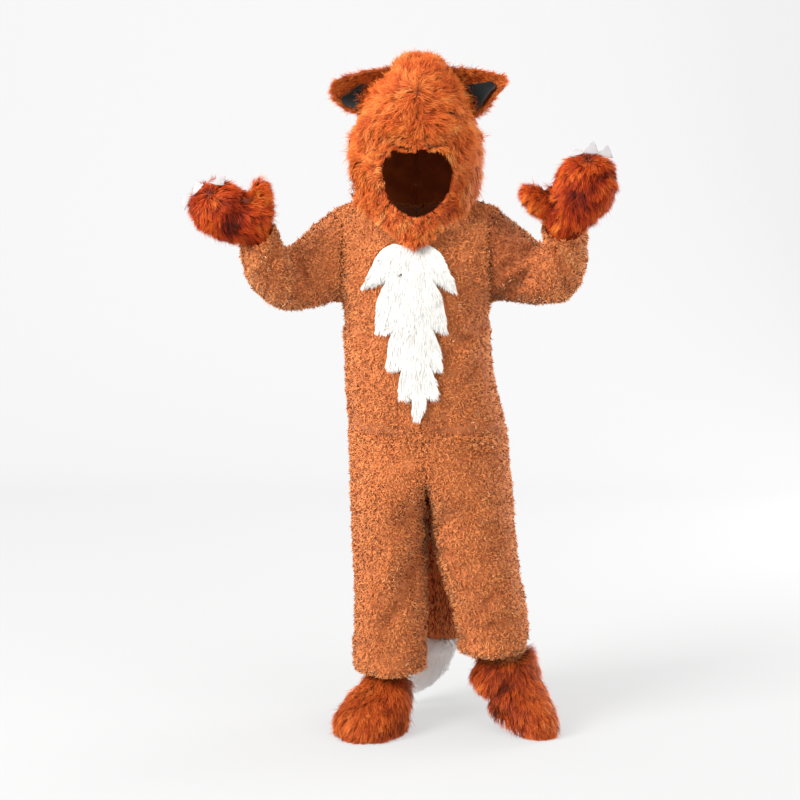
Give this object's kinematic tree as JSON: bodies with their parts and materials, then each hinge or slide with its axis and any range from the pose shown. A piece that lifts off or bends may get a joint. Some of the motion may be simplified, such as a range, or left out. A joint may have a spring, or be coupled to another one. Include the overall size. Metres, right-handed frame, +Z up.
{
  "type": "child's fox costume",
  "caption": "Child's hooded fox costume of curly plush and long-pile fur with ears, chest bib, tail, clawed mitts and shoe covers, hollow, in a worn pose",
  "frame": {"origin": "the middle of the neck opening, level with the wearer's shoulders", "axes": "+Z up the body, -Y to the front, +X to the viewer's right as seen from the front"},
  "size_m": [0.6799, 0.3266, 1.1105],
  "materials": {
    "curly_plush": "short curly pile on a knitted back, light rust orange",
    "hood_fur": "long brushed faux fur, bright rust orange with darker roots",
    "paw_fur": "long faux fur, deep rust",
    "tail_plush": "short smooth plush, dark rust brown",
    "white_fur": "long faux fur, warm white",
    "black_felt": "matt felt, greenish black",
    "white_felt": "stiff felt, off-white",
    "elastic": "woven elastic, black"
  },
  "bodies": {
    "root": {"front_left": "curly_plush", "leg_left_front": "curly_plush", "sleeve_left_front": "curly_plush", "back_left": "curly_plush", "leg_left_back": "curly_plush", "sleeve_left_back": "curly_plush", "hood_left": "hood_fur", "ear_left_fur": "hood_fur", "ear_left_inner": "black_felt", "mitt_left_palm": "paw_fur", "mitt_left_back": "paw_fur", "shoe_left_inner": "paw_fur", "shoe_left_outer": "paw_fur", "strap_left": "elastic", "claw_left_1": "white_felt", "claw_left_2": "white_felt", "claw_left_3": "white_felt", "front_right": "curly_plush", "leg_right_front": "curly_plush", "sleeve_right_front": "curly_plush", "back_right": "curly_plush", "leg_right_back": "curly_plush", "sleeve_right_back": "curly_plush", "hood_right": "hood_fur", "ear_right_fur": "hood_fur", "ear_right_inner": "black_felt", "mitt_right_palm": "paw_fur", "mitt_right_back": "paw_fur", "shoe_right_inner": "paw_fur", "shoe_right_outer": "paw_fur", "strap_right": "elastic", "claw_right_1": "white_felt", "claw_right_2": "white_felt", "claw_right_3": "white_felt", "chest_bib": "white_fur", "tail_tip": "white_fur", "tail": "tail_plush", "back_placket": "curly_plush"}
  },
  "joints": []
}
